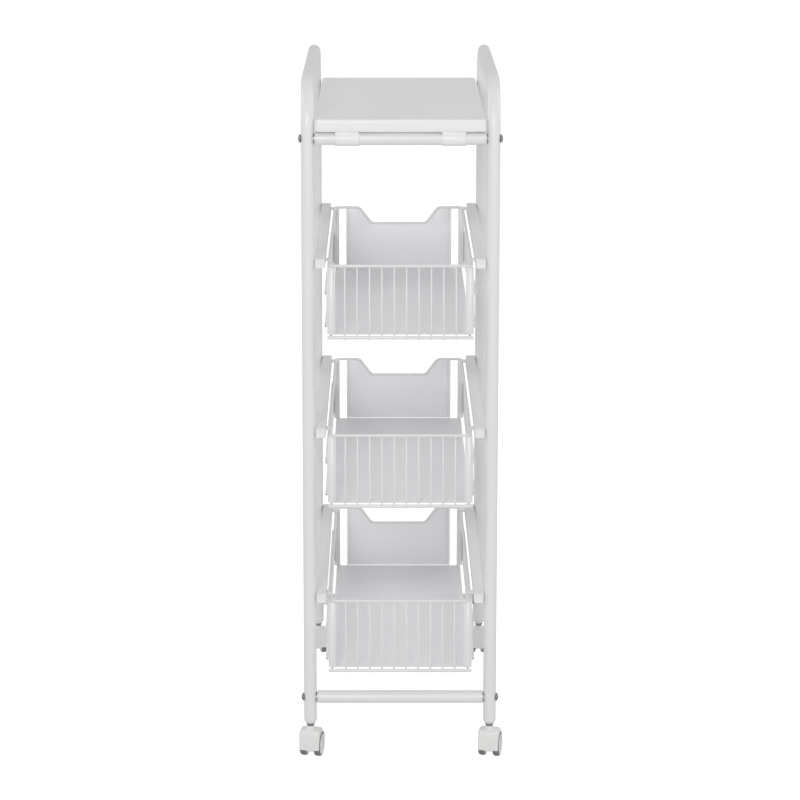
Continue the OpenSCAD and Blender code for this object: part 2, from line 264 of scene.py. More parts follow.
def zinc_plate_with_painted_shade(name):
    """Zinc-plated steel: brushed streaks, cloudy gloss and a faint mottle; its grey is set darker than bare
    zinc as painted shade for the shadowed gaps round the caster stems and crossbar screws.
    """
    zinc = Surface(name)
    zinc.set(Metallic=1.0, Anisotropic=0.35)
    zinc.tint(ZINC_DARKENED_AS_SHADE, zinc.noise(160, 3), 0.1)
    zinc.gloss(zinc.noise(700, 4), 0.18, 0.36)
    zinc.bumps((zinc.noise(900, 3, (1, 1, 6)), 0.00003))
    return zinc.material


def tread_rubber(name):
    """Grey moulded tread, dull and slightly scuffed."""
    rubber = Surface(name)
    rubber.set(Specular_IOR_Level=0.35)
    rubber.tint(TREAD_GREY, rubber.noise(260, 4), 0.16)
    rubber.gloss(rubber.noise(500, 3), 0.55, 0.8)
    rubber.bumps((rubber.noise(1500, 3), 0.00006))
    return rubber.material


MATERIALS = {
    "frame_paint": powder_coat("frame_powder_coat", FRAME_WHITE, 0.000002, 0.000008, 0.30, 0.35),
    "sheet_paint": powder_coat("sheet_powder_coat", SHEET_WHITE, 0.000003, 0.000011, 0.40, 0.15),
    "wire_paint": powder_coat("wire_powder_coat", WIRE_WHITE, 0.000002, 0.000008, 0.30, 0.35),
    "white_plastic": moulded_plastic("white_moulding", PLASTIC_WHITE, 0.42, 0.00001),
    "caster_plastic": moulded_plastic("white_nylon", NYLON_WHITE, 0.33, 0.000008),
    "zinc_steel": zinc_plate_with_painted_shade("zinc_plate_with_painted_shade"),
    "wheel_tread": tread_rubber("grey_tread"),
}
SLOT_OF = {row["node"]: row["material_slot"] for row in frame["record"]["subparts"]}
BODY_OF = {
    node: body for body, nodes in frame["record"]["behaviour"]["bodies"].items() for node in nodes
}

# ---------------------------------------------------------------- outlines and paths


def turns(count):
    """Angles of even steps round a circle."""
    return [2 * math.pi * n / count for n in range(count)]


def circle(radius, count):
    """Closed round outline."""
    return [(radius * math.cos(a), radius * math.sin(a)) for a in turns(count)]


def arc(centre, radius, start, end, count):
    """Points on an arc in a plane, angles in degrees."""
    angles = [math.radians(start + (end - start) * n / count) for n in range(count + 1)]
    return [(centre[0] + radius * math.cos(a), centre[1] + radius * math.sin(a)) for a in angles]


def rounded_rect(width, height, radius, count=4):
    """Closed outline of a rectangle with round corners, about the origin."""
    x, y = width / 2 - radius, height / 2 - radius
    outline = []
    for n, corner in enumerate(((x, y), (-x, y), (-x, -y), (x, -y))):
        outline += arc(corner, radius, 90 * n, 90 * n + 90, count)
    return outline


def ribbon(line, thickness):
    """Closed outline of a sheet whose middle follows an open plane line."""
    line = [Vector(p) for p in line]
    left, right = [], []
    for n, point in enumerate(line):
        before = (point - line[n - 1]).normalized() if n else None
        after = (line[n + 1] - point).normalized() if n < len(line) - 1 else None
        along = (before or after) + (after or before)
        normal = Vector((-along.y, along.x)).normalized()
        across = Vector((-(after or before).y, (after or before).x))
        reach = thickness / 2 / max(0.5, normal.dot(across))
        left.append(point + normal * reach)
        right.append(point - normal * reach)
    return [tuple(p) for p in left + right[::-1]]


def fillet(points, radius, count=6):
    """The same open line with its inner corners rounded to a radius."""
    points = [Vector(p) for p in points]
    line = [points[0]]
    for before, corner, after in zip(points, points[1:], points[2:]):
        back = (before - corner).normalized()
        ahead = (after - corner).normalized()
        half = back.angle(ahead) / 2
        if half > math.radians(89):
            line.append(corner)
            continue
        centre = corner + (back + ahead).normalized() * radius / math.sin(half)
        start = corner + back * radius / math.tan(half) - centre
        end = corner + ahead * radius / math.tan(half) - centre
        turn = start.angle(end)
        for k in range(count + 1):
            part = k / count
            spread = start * math.sin((1 - part) * turn) + end * math.sin(part * turn)
            line.append(centre + spread / math.sin(turn))
    return line + [points[-1]]


# ---------------------------------------------------------------- meshes


def skin(rows, size, closed=False):
    """Faces between rows of size points: round a closed loop, or with a flat face at both ends."""
    faces = []
    for n in range(rows if closed else rows - 1):
        a, b = n * size, (n + 1) % rows * size
        faces += [(a + k, a + (k + 1) % size, b + (k + 1) % size, b + k) for k in range(size)]
    if not closed:
        faces += [tuple(range(size))[::-1], tuple((rows - 1) * size + k for k in range(size))]
    return faces


def sweep(path, outline, side, closed=False, scales=None):
    """Carries a closed outline along a path. Its first axis starts along side."""
    path = [Vector(p) for p in path]
    count = len(path)
    tangents = []
    for n, point in enumerate(path):
        before = path[n - 1] if n or closed else point
        after = path[(n + 1) % count] if n < count - 1 or closed else point
        tangents.append((after - before).normalized())
    across = Vector(side)
    across = (across - tangents[0] * across.dot(tangents[0])).normalized()
    verts = []
    for n, point in enumerate(path):
        if n:
            across = tangents[n - 1].rotation_difference(tangents[n]) @ across
            across = (across - tangents[n] * across.dot(tangents[n])).normalized()
        upward = across.cross(tangents[n])
        scale = scales[n] if scales else 1
        verts += [point + (across * u + upward * v) * scale for u, v in outline]
    return verts, skin(count, len(outline), closed)


def rod(points, radius, sides=12, dome=0.6):
    """Round bar along a line, with domed ends dome radii deep."""
    points = [Vector(p) for p in points]
    steps = [math.radians(a) for a in (78, 52, 26)]
    start = (points[1] - points[0]).normalized()
    end = (points[-2] - points[-1]).normalized()
    head = [points[0] + start * radius * dome * (1 - math.sin(a)) for a in steps]
    tail = [points[-1] + end * radius * dome * (1 - math.sin(a)) for a in steps]
    first = points[0] + start * radius * dome
    last = points[-1] + end * radius * dome
    body = [first] + points[1:-1] + [last]
    caps = [math.cos(a) for a in steps]
    scales = caps + [1] * len(body) + caps[::-1]
    side = (0, 0, 1) if abs(start.z) < 0.9 else (1, 0, 0)
    return sweep(head + body + tail[::-1], circle(radius, sides), side, scales=scales)


def prism(start, end, outline, side):
    """Straight bar with a constant outline."""
    return sweep([start, end], outline, side)


def lathe(profile, centre, axis, count=48):
    """Turns a closed (radius, height) profile round an axis through centre."""
    axis = Vector(axis).normalized()
    side = axis.orthogonal().normalized()
    other = axis.cross(side)
    verts = []
    for angle in turns(count):
        outward = side * math.cos(angle) + other * math.sin(angle)
        verts += [Vector(centre) + outward * r + axis * h for r, h in profile]
    return verts, skin(count, len(profile), closed=True)


def block(low, high):
    """Plain box, to be rounded by its piece's bevel."""
    xs, ys, zs = ((low[n], high[n]) for n in range(3))
    verts = [Vector((x, y, z)) for x in xs for y in ys for z in zs]
    faces = [(0, 1, 3, 2), (4, 6, 7, 5), (0, 4, 5, 1), (2, 3, 7, 6), (0, 2, 6, 4), (1, 5, 7, 3)]
    return verts, faces


def piece(name, parts, stands_for, bevel=0.0, sharp=35):
    """One object from mesh parts. Edges sharper than sharp degrees stay sharp or are bevelled."""
    verts, faces = [], []
    for part_verts, part_faces in parts:
        faces += [tuple(k + len(verts) for k in face) for face in part_faces]
        verts += part_verts
    mesh = bpy.data.meshes.new(name)
    mesh.from_pydata([v * MM for v in verts], [], faces)
    bm = bmesh.new()
    bm.from_mesh(mesh)
    bmesh.ops.remove_doubles(bm, verts=bm.verts, dist=1e-7)
    bmesh.ops.recalc_face_normals(bm, faces=bm.faces)
    if bevel:
        limit = math.radians(sharp)
        edges = [e for e in bm.edges if e.is_manifold and e.calc_face_angle(0) > limit]
        bmesh.ops.bevel(
            bm, geom=edges, offset=bevel * MM, segments=2, profile=0.5,
            affect="EDGES", clamp_overlap=True,
        )
    bm.to_mesh(mesh)
    bm.free()
    return finish_piece(bpy.data.objects.new(name, mesh), stands_for, sharp)


def finish_piece(obj, stands_for, sharp=35):
    """Smooth shading, and the material, body and slot of the CAD nodes that it replaces."""
    bpy.context.scene.collection.objects.link(obj)
    obj.data.shade_smooth()
    obj.data.set_sharp_from_angle(angle=math.radians(sharp))
    slot = SLOT_OF[stands_for[0]]
    obj.data.materials.append(MATERIALS[slot])
    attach(obj, BODY_OF[stands_for[0]])
    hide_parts(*stands_for)
    return obj


def paint_cad_nodes():
    """Every CAD node that stays gets its slot's material."""
    for name, obj in frame["nodes"].items():
        obj.data.materials.clear()
        obj.data.materials.append(MATERIALS[SLOT_OF[name]])


# ---------------------------------------------------------------- frame pieces


def side_frame(side_name, side):
    """Bent tube whose ends fold back inside, as open mouths round the plugs."""
    plan = [(-POST_Y, POST_LOW), (-POST_Y, TOP_TUBE_Z), (POST_Y, TOP_TUBE_Z), (POST_Y, POST_LOW)]
    line = fillet([(side * POST_X, y, z) for y, z in plan], BEND_R, count=20)
    bore = (TUBE_R - TUBE_WALL) / TUBE_R
    heights = [12, 0.5, 0, 0.3, 1.2]
    widths = [bore, bore, (bore + 1) / 2, 0.985, 1]
    start = [line[0] + Vector((0, 0, h)) for h in heights]
    end = [line[-1] + Vector((0, 0, h)) for h in heights[::-1]]
    scales = widths + [1] * (len(line) - 2) + widths[::-1]
    tube = tube_rings(line, start, end, scales)
    return piece(f"{side_name}_bent_tube", [tube], [f"{side_name}_side_frame"])


def tube_rings(line, start, end, scales):
    """Tube round a bent line. The rings at its start and end stay square to the posts."""
    outline, inner = circle(TUBE_R, TUBE_SIDES), line[1:-1]
    tangents = [Vector((0, 0, 1))] * len(start)
    tangents += [(after - before).normalized() for before, after in zip(line, line[2:])]
    tangents += [Vector((0, 0, -1))] * len(end)
    path = start + inner + end
    verts, across = [], Vector((1, 0, 0))
    for point, scale, tangent in zip(path, scales, tangents):
        upward = across.cross(tangent)
        verts += [point + (across * u + upward * v) * scale for u, v in outline]
    return verts, skin(len(path), TUBE_SIDES)


def button_screws():
    """Button-head screws through the posts, one at each crossbar end."""
    parts = []
    for side, end, z in BOLTED_ENDS:
        parts += button_screw(Vector((side * (POST_X + TUBE_R), end * POST_Y, z)), side)
    return piece("crossbar_button_screws", parts, ["crossbar_screws"], sharp=40)


def button_screw(foot, side):
    """Domed head with a hexagon socket, its shank, and the threaded insert that it pulls up, a dark zinc
    disc in the saddle's slit that is also painted shade for the slit's shadow line.
    """
    head_r, head_h, rim_h, key_r, key_deep, sides = 5.2, 3.0, 0.6, 2.3, 2.0, 48
    dome = [(head_r * math.cos(a), rim_h + (head_h - rim_h) * math.sin(a))
            for a in (math.radians(d) for d in (0, 15, 30, 45, 58))]
    top = head_h - 0.05
    turned = [(SCREW_R, 0.0), (head_r - 0.3, 0.0), (head_r, 0.3)] + dome + [(key_r + 0.75, top)]
    angles, flat = turns(sides), key_r * math.cos(math.pi / 6)
    hexagon = [flat / math.cos(a % (math.pi / 3) - math.pi / 6) for a in angles]
    rings = [([r] * sides, h) for r, h in turned]
    rings += [([r + 0.25 for r in hexagon], top - 0.05), (hexagon, top - 0.35)]
    rings += [(hexagon, head_h - key_deep)]
    axis = Vector((side, 0, 0))
    verts = [foot + axis * h + Vector((0, r * math.cos(a), r * math.sin(a)))
             for radii, h in rings for r, a in zip(radii, angles)]
    inner_side = foot - axis * 2 * TUBE_R
    shank = rod([foot + axis * 0.05, inner_side - axis * 20], SCREW_R, 20, 0.5)
    # The insert fills the slit before the post: a real threaded insert, and its dark zinc is painted shade
    # for the slit's shadow line.
    insert_as_slit_shade = [(2.9, -0.3), (6.2, -0.3), (6.5, 0), (6.5, 1.2), (2.9, 1.2)]
    return [(verts, skin(len(rings), sides)), shank, lathe(insert_as_slit_shade, inner_side, -axis, 40)]


def saddles():
    """Moulded collars between the posts and the crossbars, hollowed to the post."""
    parts = [saddle(side, Vector((0, end * POST_Y, z))) for side, end, z in BOLTED_ENDS]
    return piece("crossbar_saddle_mouldings", parts, ["crossbar_saddles"], sharp=45)


def saddle(side, centre):
    """One collar: an open slit before the post, and a hub inside it that is cut to the post."""
    bore, hub, edge, collar_r = 3.1, 4.6, 0.5, TUBE_R + 0.15
    back, face = BAR_HALF - 0.01, POST_X - TUBE_R - SADDLE_SLIT
    rings = [(bore, back), (collar_r - edge, back), (collar_r, BAR_HALF + 0.3),
             (collar_r, face - edge), (collar_r - edge, face), (hub, face)]
    angles = turns(48)
    points = [(x, r * math.cos(a), r * math.sin(a)) for r, x in rings for a in angles]
    for r in (hub, bore):
        for a in angles:
            reach = POST_X - math.sqrt((TUBE_R + 0.05) ** 2 - (r * math.cos(a)) ** 2)
            points.append((reach, r * math.cos(a), r * math.sin(a)))
    verts = [centre + Vector((side * x, y, z)) for x, y, z in points]
    return verts, skin(len(rings) + 2, len(angles), closed=True)


def post_plugs():
    """Cone-ended plugs, bored for the caster stems."""
    bore, low = 4.3, box("post_plugs")[0].z
    inside, top = TUBE_R - TUBE_WALL, POST_LOW + PLUG_DEPTH
    profile = [
        (bore, top), (bore, low + 0.8), (bore + 0.5, low), (TUBE_R - 2.7, low),
        (TUBE_R - 2.3, low + 0.3), (TUBE_R - 0.35, POST_LOW - 0.75), (TUBE_R - 0.1, POST_LOW - 0.35),
        (TUBE_R - 0.2, POST_LOW - 0.05), (inside, POST_LOW + 0.1), (inside, top),
    ]
    parts = [lathe(profile, (side * POST_X, end * POST_Y, 0), (0, 0, 1)) for _, side, end in CORNERS]
    return piece("post_plug_mouldings", parts, ["post_plugs"])


def tray():
    """Folded sheet tray with straps round the upper crossbars."""
    top, low = TRAY_HIGH.z, TRAY_HIGH.z - LIP_H
    plan = [(-TRAY_HIGH.x, -TRAY_HIGH.y), (TRAY_HIGH.x, -TRAY_HIGH.y)]
    plan += [(TRAY_HIGH.x, TRAY_HIGH.y), (-TRAY_HIGH.x, TRAY_HIGH.y)]
    bm = bmesh.new()
    lower = [bm.verts.new(Vector((x, y, low)) * MM) for x, y in plan]
    upper = [bm.verts.new(Vector((x, y, top)) * MM) for x, y in plan]
    bm.faces.new(upper)
    for n in range(4):
        bm.faces.new([lower[n], lower[(n + 1) % 4], upper[(n + 1) % 4], upper[n]])
    bm.normal_update()

    def edges(test):
        return [e for e in bm.edges if test(*[v.co / MM for v in e.verts])]

    upright = edges(lambda p, q: abs(p.z - q.z) > 1)
    bmesh.ops.bevel(
        bm, geom=upright, offset=TRAY_CORNER_R * MM, segments=5, profile=0.5, affect="EDGES"
    )
    rim = edges(lambda p, q: p.z > top - 0.1 and q.z > top - 0.1)
    bmesh.ops.bevel(bm, geom=rim, offset=TRAY_FOLD_R * MM, segments=6, profile=0.5, affect="EDGES")
    bmesh.ops.recalc_face_normals(bm, faces=bm.faces)
    mesh = bpy.data.meshes.new("tray_sheet")
    bm.to_mesh(mesh)
    bm.free()
    sheet = finish_piece(bpy.data.objects.new("tray_sheet", mesh), ["top_tray"])
    wall = sheet.modifiers.new("wall", "SOLIDIFY")
    wall.thickness, wall.offset, wall.use_even_offset = TRAY_T * MM, -1, True
    edge = sheet.modifiers.new("edge", "BEVEL")
    edge.width, edge.segments, edge.angle_limit = 0.3 * MM, 2, math.radians(50)
    parts = [tray_strap(x * SLEEVE_X, end) for x in SIDES.values() for end in ENDS.values()]
    return piece("tray_straps", parts, ["top_tray"], bevel=0.3, sharp=60)


def tray_strap(x, end):
    """Strap that wraps under a crossbar, both legs welded inside the tray."""
    grip, lean, top = TUBE_R + 0.6, 38, TRAY_HIGH.z - TRAY_T - 0.2
    wrap = arc((end * POST_Y, BAR_HEIGHTS[1]), grip, 180 - lean, 360 + lean, 40)
    outline = ribbon([(wrap[0][0], top)] + wrap + [(wrap[-1][0], top)], TRAY_T)
    return prism((x + SLEEVE_W / 2, 0, 0), (x - SLEEVE_W / 2, 0, 0), outline, (0, 1, 0))


def crossbar(name):
    """Plain tube between two collars, with a hairline radius at its ends."""
    y, z = middle(name).y, middle(name).z
    bore, half, edge = TUBE_R - TUBE_WALL, BAR_HALF, 0.3
    profile = [(bore, -half), (TUBE_R - edge, -half), (TUBE_R, -half + edge),
               (TUBE_R, half - edge), (TUBE_R - edge, half), (bore, half)]
    return piece(f"{name}_tube", [lathe(profile, (0, y, z), (1, 0, 0), 56)], [name])


def rail(i, side_name, side):
    """Roll-formed channel with round folds, open towards the basket."""
    low, high = box(f"rail_{i}_{side_name}")
    web = side * (max(abs(low.x), abs(high.x)) - RAIL_T / 2)
    lip = side * min(abs(low.x), abs(high.x))
    bottom, top = low.z + RAIL_T / 2, high.z - RAIL_T / 2
    line = fillet([(lip, bottom), (web, bottom), (web, top), (lip, top)], 1.1, count=5)
    channel = prism((0, low.y, 0), (0, high.y, 0), ribbon(line, RAIL_T), (1, 0, 0))
    name = f"rail_{i}_{side_name}"
    return piece(f"{name}_channel", [channel], [name], bevel=0.22, sharp=50)


def rail_caps():
    """Soft-cornered end caps, each with a slightly dished face and a tongue in the channel."""
    parts = []
    for i in BASKETS:
        for side_name, side in SIDES.items():
            low, high = box(f"rail_{i}_{side_name}")
            centre = (low + high) / 2
            width, height = high.x - low.x, high.z - low.z
            post_gap = 0.7
            outline = [(u - side * post_gap / 2, v)
                       for u, v in rounded_rect(width - post_gap, height, 1.6)]
            near = low.y - CAP_L
            ys = [near + 0.25, near, near + 0.25, near + 0.9, low.y - 0.05]
            path = [(centre.x, y, centre.z) for y in ys]
            parts.append(stacked(path, outline, [0.82, 0.9, 0.965, 1, 1]))
            tongue = rounded_rect(width - RAIL_T - 1.2, height - 2 * RAIL_T - 0.2, 0.8)
            x = centre.x - side * 0.9
            parts.append(prism((x, low.y - 0.1, centre.z), (x, low.y + 8, centre.z), tongue, (1, 0, 0)))
    return piece("rail_end_cap_mouldings", parts, ["rail_end_caps"], sharp=40)


def stacked(path, outline, scales):
    """One outline at several places and scales, always facing along Y."""
    verts = [Vector((x + u * s, y, z + v * s)) for (x, y, z), s in zip(path, scales) for u, v in outline]
    return verts, skin(len(path), len(outline))


# ---------------------------------------------------------------- basket pieces


def basket_floor(i):
    """Floor sheet with curled side edges and a curled far edge. It starts behind the wires."""
    low, high = box(f"basket_{i}_floor")
    z, half, far = floor_z(i) + HEM_R, high.x - HEM_R, high.y - HEM_R
    line = [(-x, height) for x, height in arc((half, z), CURL_R, -200, 90, 18)]
    line += arc((half, z), CURL_R, 90, -200, 18)
    sheet = prism((0, low.y + FLOOR_START, 0), (0, far, 0), ribbon(line, SHEET_T), (1, 0, 0))
    hem = rod([(-half + 1, far - 0.4, z), (half - 1, far - 0.4, z)], HEM_R - 0.4, 14)
    return piece(f"basket_{i}_floor_sheet", [sheet, hem], [f"basket_{i}_floor"], bevel=0.15, sharp=60)


def basket_grid(i):
    """Bottom rail and upright wires, each bent in under the rail and welded at both ends."""
    low_z, top_z = floor_z(i), rim_z(i)
    rail_half = box(f"basket_{i}_front_grid")[1].x
    behind = (RIM_R + WIRE_R) / math.cos(math.atan2(GRID_LEAN, BASKET_H))
    tick_z = low_z - BOTTOM_RAIL_R - WIRE_R
    foot_y = GRID_FRONT_Y + BOTTOM_RAIL_R + WIRE_R - 0.7
    ends = [(side * rail_half, GRID_FRONT_Y, low_z) for side in (-1, 1)]
    parts = [rod(ends, BOTTOM_RAIL_R, 24)]
    for n in range(WIRE_COUNT):
        x = (n - (WIRE_COUNT - 1) / 2) * WIRE_STEP
        line = [(x, RIM_FRONT_Y + behind, top_z + 0.6), (x, foot_y, tick_z)]
        line += [(x, foot_y + WIRE_TICK, tick_z)]
        parts.append(rod(fillet(line, 2.2), WIRE_R))
        parts.append(weld((x, RIM_FRONT_Y + RIM_R * 0.75, top_z - 0.5)))
        parts.append(weld((x, GRID_FRONT_Y + BOTTOM_RAIL_R * 0.85, low_z - 0.3)))
    return piece(f"basket_{i}_grid_wires", parts, [f"basket_{i}_front_grid"])


def weld(centre, size=(1.7, 0.75, 1.1)):
    """Small flattened weld nugget between two wires."""
    around, rows, verts = 10, 4, []
    for m in range(1, rows + 1):
        tilt = math.pi * m / (rows + 1)
        for turn in turns(around):
            bulge = 1 + 0.12 * math.cos(3 * turn)
            verts.append(Vector(centre) + Vector((
                size[0] * math.sin(tilt) * math.cos(turn) * bulge,
                size[1] * math.sin(tilt) * math.sin(turn),
                size[2] * math.cos(tilt),
            )))
    return verts, skin(rows, around)


def basket_rim(i):
    """Closed rim wire with bent corners that dips along the hand notch."""
    z = rim_z(i)
    far_corner = (RIM_X, RIM_REAR_Y, z)
    notch = [(NOTCH_TOP_X, RIM_REAR_Y, z), (NOTCH_LOW_X, RIM_REAR_Y, z - NOTCH_H)]
    front = [(0, RIM_FRONT_Y, z), (RIM_X, RIM_FRONT_Y, z)]
    half = fillet(front + [far_corner], RIM_CORNER_R, count=10)[:-1]
    half += fillet([half[-1], far_corner, notch[0]], RIM_CORNER_R, count=10)[1:-1]
    half += fillet([half[-1]] + notch + [(0, RIM_REAR_Y, z - NOTCH_H)], NOTCH_R, count=8)[1:]
    mirrored = [Vector((-p.x, p.y, p.z)) for p in half[1:-1]]
    ring = sweep(half + mirrored[::-1], circle(RIM_R, 20), (0, 0, 1), closed=True)
    return piece(f"basket_{i}_rim_wire", [ring], [f"basket_{i}_rim"])


def basket_panel(i):
    """Far-end sheet: hand notch with round corners, curled upright edges."""
    y = RIM_REAR_Y - HEM_R
    sheet_y, roll_t, edge = y + 1, SHEET_T - 0.2, PANEL_HALF - 0.3
    top, low = rim_z(i) - RIM_R + 0.4, floor_z(i) + 2 * HEM_R
    half_top, half_low = NOTCH_TOP_X + 1, NOTCH_LOW_X + 1
    line = [(edge, top), (half_top, top), (half_low, top - NOTCH_H)]
    line += [(-half_low, top - NOTCH_H), (-half_top, top), (-edge, top)]
    outline = fillet(line, NOTCH_R, count=8) + [(-edge, low), (edge, low)]
    near, far = sheet_y - SHEET_T / 2, sheet_y + SHEET_T / 2
    parts = [prism((0, near, 0), (0, far, 0), outline, (1, 0, 0))]
    for side in (-1, 1):
        line = [(PANEL_HALF - 3.5, sheet_y)] + arc((edge, y - 0.3), CURL_R, 90, -205, 18)
        roll = ribbon([(side * x, depth) for x, depth in line], roll_t)
        parts.append(prism((0, 0, top - 0.6), (0, 0, low + 0.3), roll, (1, 0, 0)))
    return piece(f"basket_{i}_notched_panel", parts, [f"basket_{i}_rear_panel"], bevel=0.18, sharp=60)


def corner_posts(i):
    """Folded strips: leaning ones beside the grid, upright ones at the far end."""
    low, top = floor_z(i) + 2 * HEM_R, rim_z(i) - RIM_R
    slope = GRID_LEAN / BASKET_H
    parts = []
    for side in (-1, 1):
        x = side * (BASKET_HALF - GRID_STRIP_W / 2)
        foot_y = GRID_FRONT_Y + RIM_R * 1.9
        path = [(x, foot_y + (z - floor_z(i)) * slope, z) for z in (low, top)]
        parts.append(prism(*path, bowed_strip(), (1, 0, 0)))
        x = side * (BASKET_HALF - FAR_STRIP_W / 2)
        y = RIM_REAR_Y - RIM_R - 1.8
        parts.append(prism((x, y, low), (x, y, top), channel_strip(), (1, 0, 0)))
    return piece(f"basket_{i}_corner_strips", parts, [f"basket_{i}_corner_posts"], bevel=0.2, sharp=50)


def bowed_strip():
    """Half-round strip, its round face to the outside of the basket."""
    half, depth = (GRID_STRIP_W - STRIP_T) / 2, STRIP_DEPTH - STRIP_T
    angles = [math.radians(180 - 15 * n) for n in range(13)]
    bow = [(half * math.cos(a), depth / 2 - depth * math.sin(a)) for a in angles]
    return ribbon(bow, STRIP_T)


def channel_strip():
    """Shallow channel strip, open to the inside of the basket."""
    half = (FAR_STRIP_W - STRIP_T) / 2
    open_y, web_y = -STRIP_DEPTH / 2, (STRIP_DEPTH - STRIP_T) / 2
    line = [(-half, open_y), (-half, web_y), (half, web_y), (half, open_y)]
    return ribbon(fillet(line, 1.0, count=4), STRIP_T)


def side_bands(i):
    """Flat strips outside the corner strips, both long edges curled."""
    low, high = box(f"basket_{i}_side_bands")
    x = high.x - HEM_R
    top, bottom = rim_z(i) - BAND_TOP, rim_z(i) - BAND_LOW
    line = arc((x, top), CURL_R, -120, 180, 20) + arc((x, bottom), CURL_R, 180, 480, 20)
    parts = []
    for side in (-1, 1):
        outline = ribbon([(side * across, z) for across, z in line], SHEET_T)
        parts.append(prism((0, low.y, 0), (0, high.y, 0), outline, (1, 0, 0)))
    return piece(f"basket_{i}_curled_bands", parts, [f"basket_{i}_side_bands"], bevel=0.12, sharp=60)


def runners(i):
    """Sliding bars with soft edges and lead-in noses, hung on the rim wire by tabs."""
    low, high = box(f"basket_{i}_runners")
    rail_low, rail_high = box(f"rail_{i}_right")
    bar_in, bar_out, tab_z = rail_low.x + 0.4, high.x, rim_z(i) + RIM_R
    middle_z = (rail_low.z + rail_high.z) / 2
    height = rail_high.z - rail_low.z - 2 * (RAIL_T + 0.35)
    outline = rounded_rect(bar_out - bar_in, height, 0.5)
    ys = [low.y, low.y + 1, low.y + 3, high.y - 3, high.y - 1, high.y]
    parts = []
    for side in (-1, 1):
        path = [(side * (bar_in + bar_out) / 2, y, middle_z) for y in ys]
        parts.append(stacked(path, outline, [0.7, 0.85, 1, 1, 0.85, 0.7]))
        x0, x1 = sorted((side * (RIM_X - 0.6), side * (bar_in + 0.5)))
        for y in (low.y + 4, high.y - 4 - TAB_L):
            parts.append(block((x0, y, tab_z - 0.1), (x1, y + TAB_L, tab_z + 2)))
    return piece(f"basket_{i}_runner_bars", parts, [f"basket_{i}_runners"], bevel=0.4, sharp=60)


# ---------------------------------------------------------------- casters


def at_caster(side, end, part):
    """Carries a part from its caster's own frame to the cart's."""
    turned = Matrix.Rotation(end * CASTER_TURN, 3, "Z")
    centre = Vector((side * POST_X, end * POST_Y, 0))
    verts, faces = part
    return [centre + turned @ v for v in verts], faces


def hood(corner, side, end):
    """Moulded hood: curved cover, inner web and a stem boss on its flat top."""
    bore, base = 4.05, HOOD_TOP - 9
    boss = [(bore, base), (6.6, base), (6.6, HOOD_TOP - 0.6), (6.1, HOOD_TOP + 0.1),
            (5.4, HOOD_TOP + 0.6), (5.1, NECK_TOP - 0.5), (4.7, NECK_TOP), (bore, NECK_TOP)]
    shapes = [hood_cover(), hood_web(), lathe(boss, (0, 0, 0), (0, 0, 1), 40)]
    parts = [at_caster(side, end, shape) for shape in shapes]
    return piece(f"caster_{corner}_hood_moulding", parts, [f"caster_{corner}_hood"], sharp=50)


def hood_cover():
    """Shell over both treads: upright front, flat top and a round back, with rolled side edges."""
    front, skirt, tail = -10.4, 12.0, (TRAIL + 16.7, WHEEL_R + 4.5)
    outer = fillet([(front, skirt), (front - 0.3, 23), (front + 1.0, HOOD_TOP), (TRAIL + 1, HOOD_TOP - 0.2),
                    (TRAIL + 14.2, WHEEL_R + 13.5), tail], 6.5, count=8)
    axle, steps = Vector((TRAIL, WHEEL_R)), 8
    verts = []
    for point in outer:
        reach = point - axle
        crown = reach.length
        direction = Vector((0, reach.x, reach.y)) / crown
        bend_r = min(3.2, crown - HOOD_WELL_R - 0.2)
        ring = [(-HOOD_HALF + 0.9, HOOD_WELL_R), (-HOOD_HALF, HOOD_WELL_R + 0.5)]
        for bend in (math.radians(90 * k / steps) for k in range(steps + 1)):
            x, r = bend_r * (1 - math.cos(bend)), bend_r * (1 - math.sin(bend))
            ring.append((-HOOD_HALF + x, crown - r))
        ring += [(-x, r) for x, r in ring[::-1]]
        verts += [Vector((x, TRAIL, WHEEL_R)) + direction * r for x, r in ring]
    return verts, skin(len(outer), len(ring))


def hood_web():
    """Solid web between the wheels, which carries the axle."""
    half = 4.4
    outline = arc((TRAIL, WHEEL_R), HOOD_WELL_R + 0.4, 198, 40, 24)
    outline += [(TRAIL + 9, WHEEL_R + 1), (TRAIL + 5, WHEEL_R - 6), (TRAIL - 2, WHEEL_R - 7.5)]
    return prism((half, 0, 0), (-half, 0, 0), outline, (0, 1, 0))


def wheels(corner, side, end):
    """Pair of wheels with dished, ribbed faces and hub bosses."""
    bore, rim, face, dish, hub_face = 2.05, WHEEL_R - TREAD_T, 8.6, 6.6, 9
    profile = [(bore, 0), (rim - 0.3, 0), (rim, 0.3), (rim, face - 0.4), (rim - 0.4, face),
               (rim - 1.5, face), (rim - 1.9, face - 0.3), (rim - 2.6, dish), (5.9, dish - 0.4),
               (5.3, dish + 0.2), (5.0, hub_face - 0.3), (4.7, hub_face), (bore + 0.4, hub_face),
               (bore, hub_face - 0.3)]
    parts = []
    for out in (-1, 1):
        centre = (out * WHEEL_INNER_X, TRAIL, WHEEL_R)
        shapes = [lathe(profile, centre, (out, 0, 0), 56)]
        shapes += [wheel_rib(out, math.radians(60 * n + 15), dish, rim) for n in range(6)]
        parts += [at_caster(side, end, shape) for shape in shapes]
    return piece(f"caster_{corner}_wheel_mouldings", parts, [f"caster_{corner}_wheels"], sharp=32)


def wheel_rib(out, angle, dish, rim):
    """Shallow rib across a wheel's dished face."""
    direction = Vector((0, math.cos(angle), math.sin(angle)))
    centre = Vector((out * (WHEEL_INNER_X + dish), TRAIL, WHEEL_R))
    outline = rounded_rect(1.5, 1.5, 0.5, 3)
    return prism(centre + direction * 5.1, centre + direction * (rim - 2.3), outline, (1, 0, 0))


